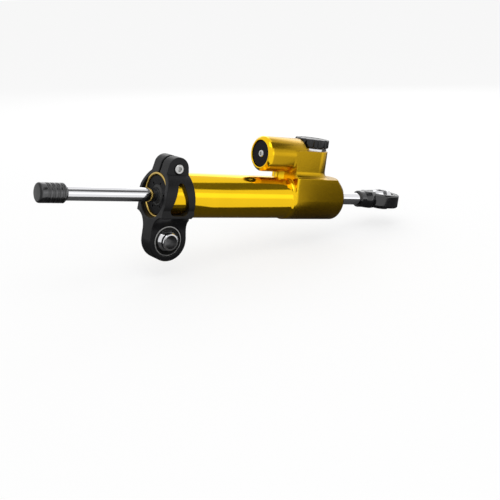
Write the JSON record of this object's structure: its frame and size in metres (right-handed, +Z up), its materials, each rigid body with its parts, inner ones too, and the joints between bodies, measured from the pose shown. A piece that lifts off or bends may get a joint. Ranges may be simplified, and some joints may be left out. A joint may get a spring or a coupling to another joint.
{
  "type": "motorcycle steering damper",
  "caption": "Linear steering damper: gold tube with through rod and side reservoir, click adjuster knob, sliding tube clamp with spherical bearing, and a rod end on the piston rod.",
  "frame": {"origin": "centre of the clamp's spherical bearing, on its bore axis", "axes": "+X along the tube towards the rod end, +Z up from the bearing to the tube and reservoir, +Y along the clamp bearing's bore"},
  "size_m": [0.2622, 0.0314, 0.0762],
  "materials": {
    "gold_anodised": "polished gold anodising",
    "black_anodised": "satin black anodising",
    "black_gloss": "gloss black anodising",
    "chrome": "hard chrome, polished",
    "steel": "bright zinc plated",
    "bronze": "plain bearing bronze",
    "rubber": "moulded nitrile rubber",
    "bearing_plastic": "filled bearing plastic"
  },
  "bodies": {
    "cylinder": {"damper_body": "gold_anodised", "inner_tube": "steel", "inner_tube_seal": "rubber", "front_end_cap": "black_anodised", "front_guide_bush": "bronze", "front_rod_seal": "rubber", "front_wiper": "rubber", "front_cap_o_ring": "rubber", "rear_end_cap": "black_anodised", "rear_guide_bush": "bronze", "rear_rod_seal": "rubber", "rear_wiper": "rubber", "rear_cap_o_ring": "rubber", "reservoir_plug": "black_anodised", "reservoir_plug_o_ring": "rubber", "bleed_screw": "steel", "compensator_spring": "steel", "valve_cartridge": "steel", "valve_o_ring": "rubber", "detent_ring": "chrome"},
    "compensator": {"compensator_piston": "steel", "compensator_o_ring": "rubber"},
    "knob": {"adjuster_knob": "black_gloss", "knob_set_screw": "steel", "detent_ball": "chrome", "detent_spring": "steel"},
    "needle": {"metering_needle": "steel"},
    "piston": {"piston": "steel", "piston_ring": "bearing_plastic"},
    "rod": {"piston_rod": "chrome", "piston_circlips": "steel", "stop_cap": "black_anodised", "rod_end_housing": "black_gloss", "rod_end_race": "steel"},
    "rod_end_ball": {"rod_end_ball": "chrome"},
    "clamp": {"clamp_body": "black_anodised", "pinch_screw": "steel", "clamp_bearing_race": "steel"},
    "clamp_ball": {"clamp_ball": "chrome"}
  },
  "joints": [
    {"name": "piston_slide", "type": "slide", "parent": "cylinder", "child": "piston", "axis": [1, 0, 0], "range_m": [-0.022, 0.052]},
    {"name": "rod_turn", "type": "hinge", "parent": "piston", "child": "rod", "pos_m": [0.041, 0, 0.026], "axis": [1, 0, 0], "continuous": true},
    {"name": "rod_end_swivel", "type": "hinge", "parent": "rod", "child": "rod_end_ball", "pos_m": [0.1705, 0, 0.026], "axis": [0, 0, 1], "continuous": true},
    {"name": "clamp_slide", "type": "slide", "parent": "cylinder", "child": "clamp", "axis": [1, 0, 0], "range_m": [-0.002, 0.048]},
    {"name": "clamp_swivel", "type": "hinge", "parent": "clamp", "child": "clamp_ball", "pos_m": [0, 0, 0], "axis": [0, 1, 0], "continuous": true},
    {"name": "knob_turn", "type": "hinge", "parent": "cylinder", "child": "knob", "pos_m": [0.1018, 0, 0.06], "axis": [0, 0, 1], "range_deg": [-160, 160]},
    {"name": "needle_feed", "type": "slide", "parent": "knob", "child": "needle", "axis": [0, 0, 1], "range_m": [-0.0004, 0.0004]},
    {"name": "compensator_slide", "type": "slide", "parent": "cylinder", "child": "compensator", "axis": [1, 0, 0], "range_m": [-0.003, 0.003], "stiffness_N_per_m": 1500, "deforming": ["compensator_spring"]}
  ],
  "couplings": [
    {"joint": "needle_feed", "follows": "knob_turn", "m_per_rad": 0.00012732}
  ]
}
